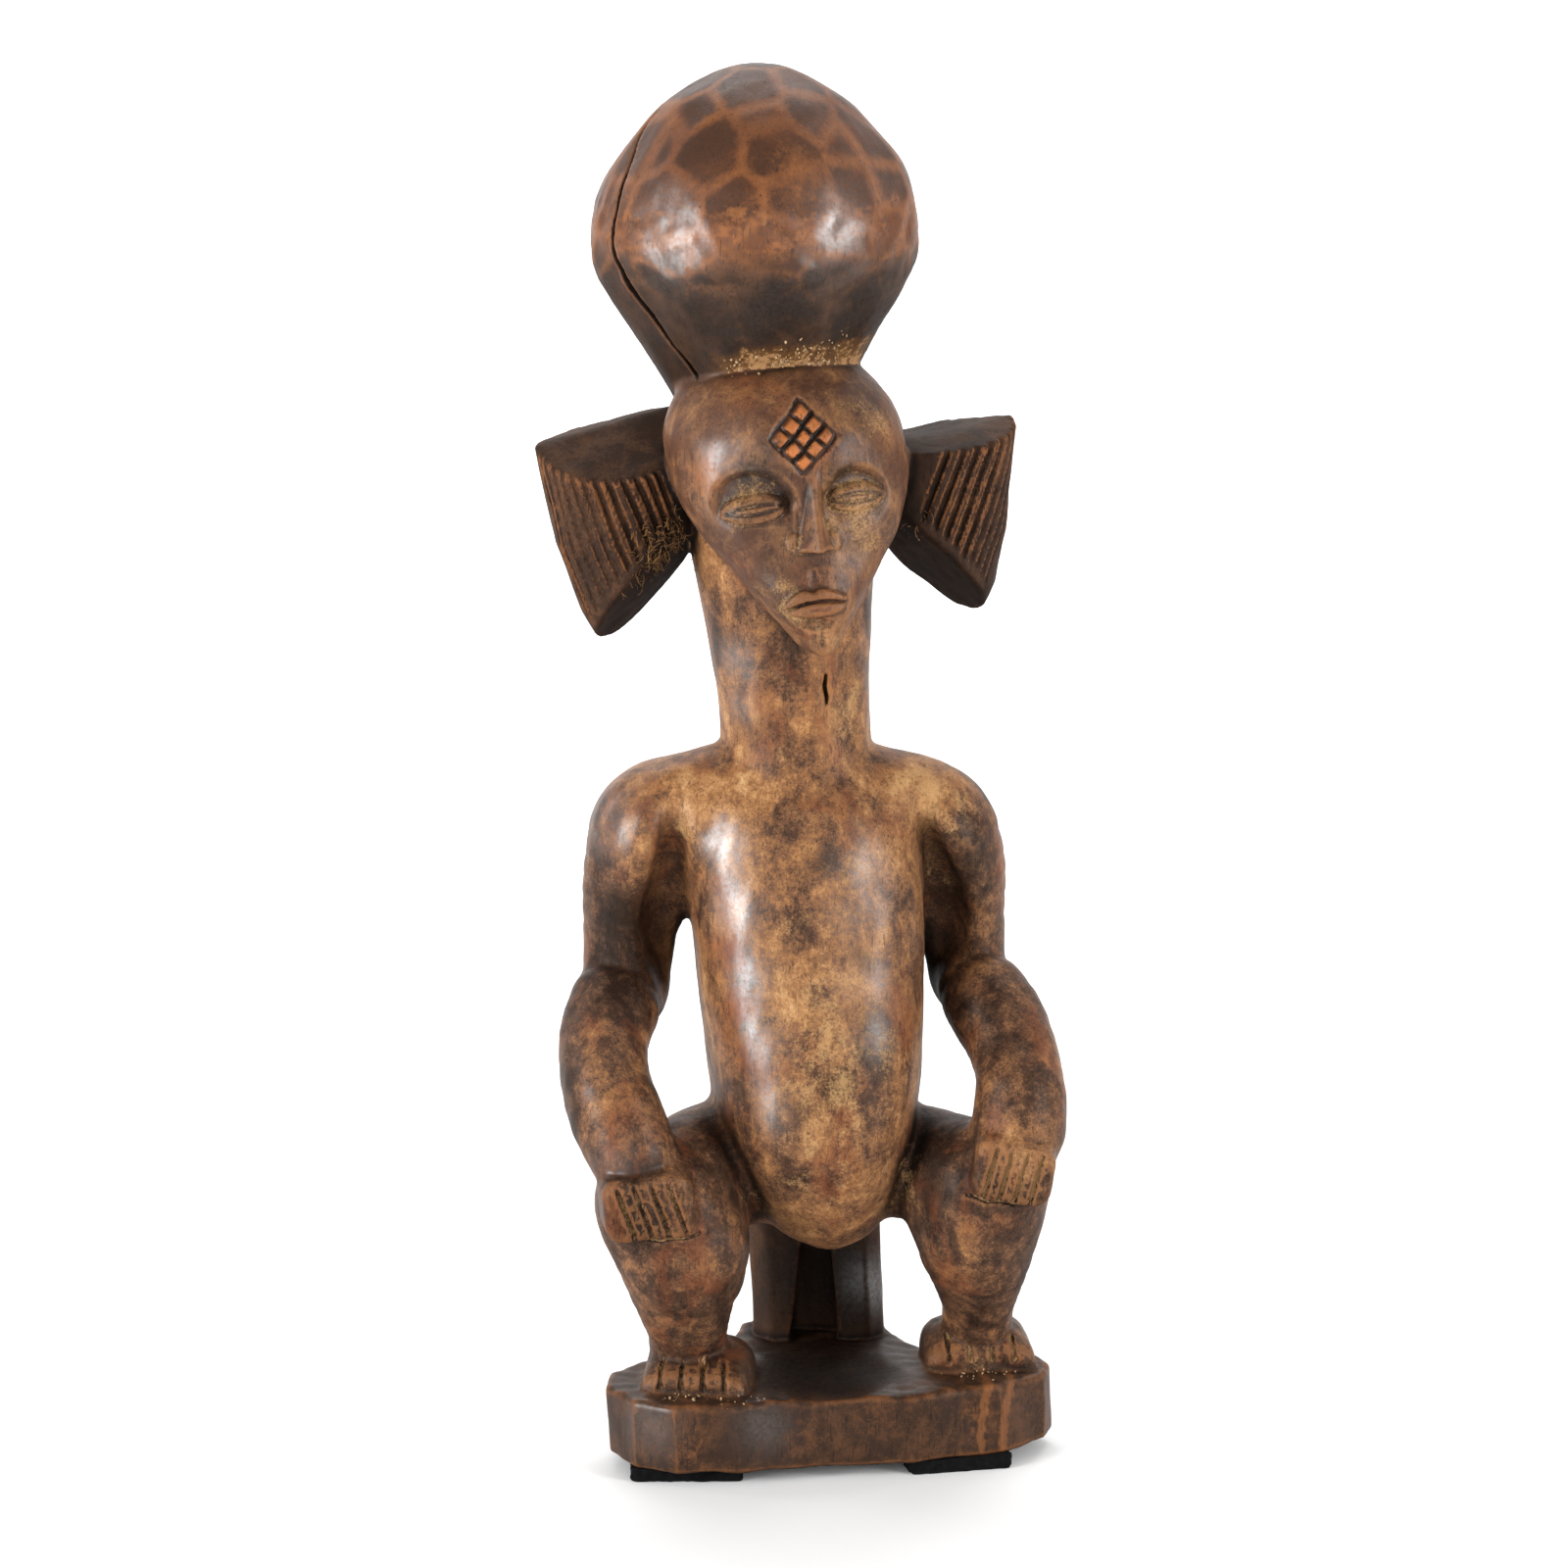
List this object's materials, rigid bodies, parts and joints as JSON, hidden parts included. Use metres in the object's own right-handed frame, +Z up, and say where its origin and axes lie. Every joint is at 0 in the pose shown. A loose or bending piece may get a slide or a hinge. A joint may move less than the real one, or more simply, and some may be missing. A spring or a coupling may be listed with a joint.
{
  "type": "punu figure",
  "caption": "Carved hardwood figure squatting on a low block seat, hands on its knees, with lobed hair and a faceted round topknot, on a slab base with felt pads.",
  "frame": {"origin": "under the middle of the whole box, at the level that the felt pads stand on", "axes": "+Z up, -Y the way the figure faces, +X to the right of someone who looks at its face"},
  "size_m": [0.1464, 0.1084, 0.3957],
  "materials": {
    "wood": "burnished dark patina",
    "felt": "matt felt"
  },
  "bodies": {
    "root": {"carved_figure": "wood", "felt_pad_front_right": "felt", "felt_pad_front_left": "felt", "felt_pad_back": "felt"}
  },
  "joints": []
}
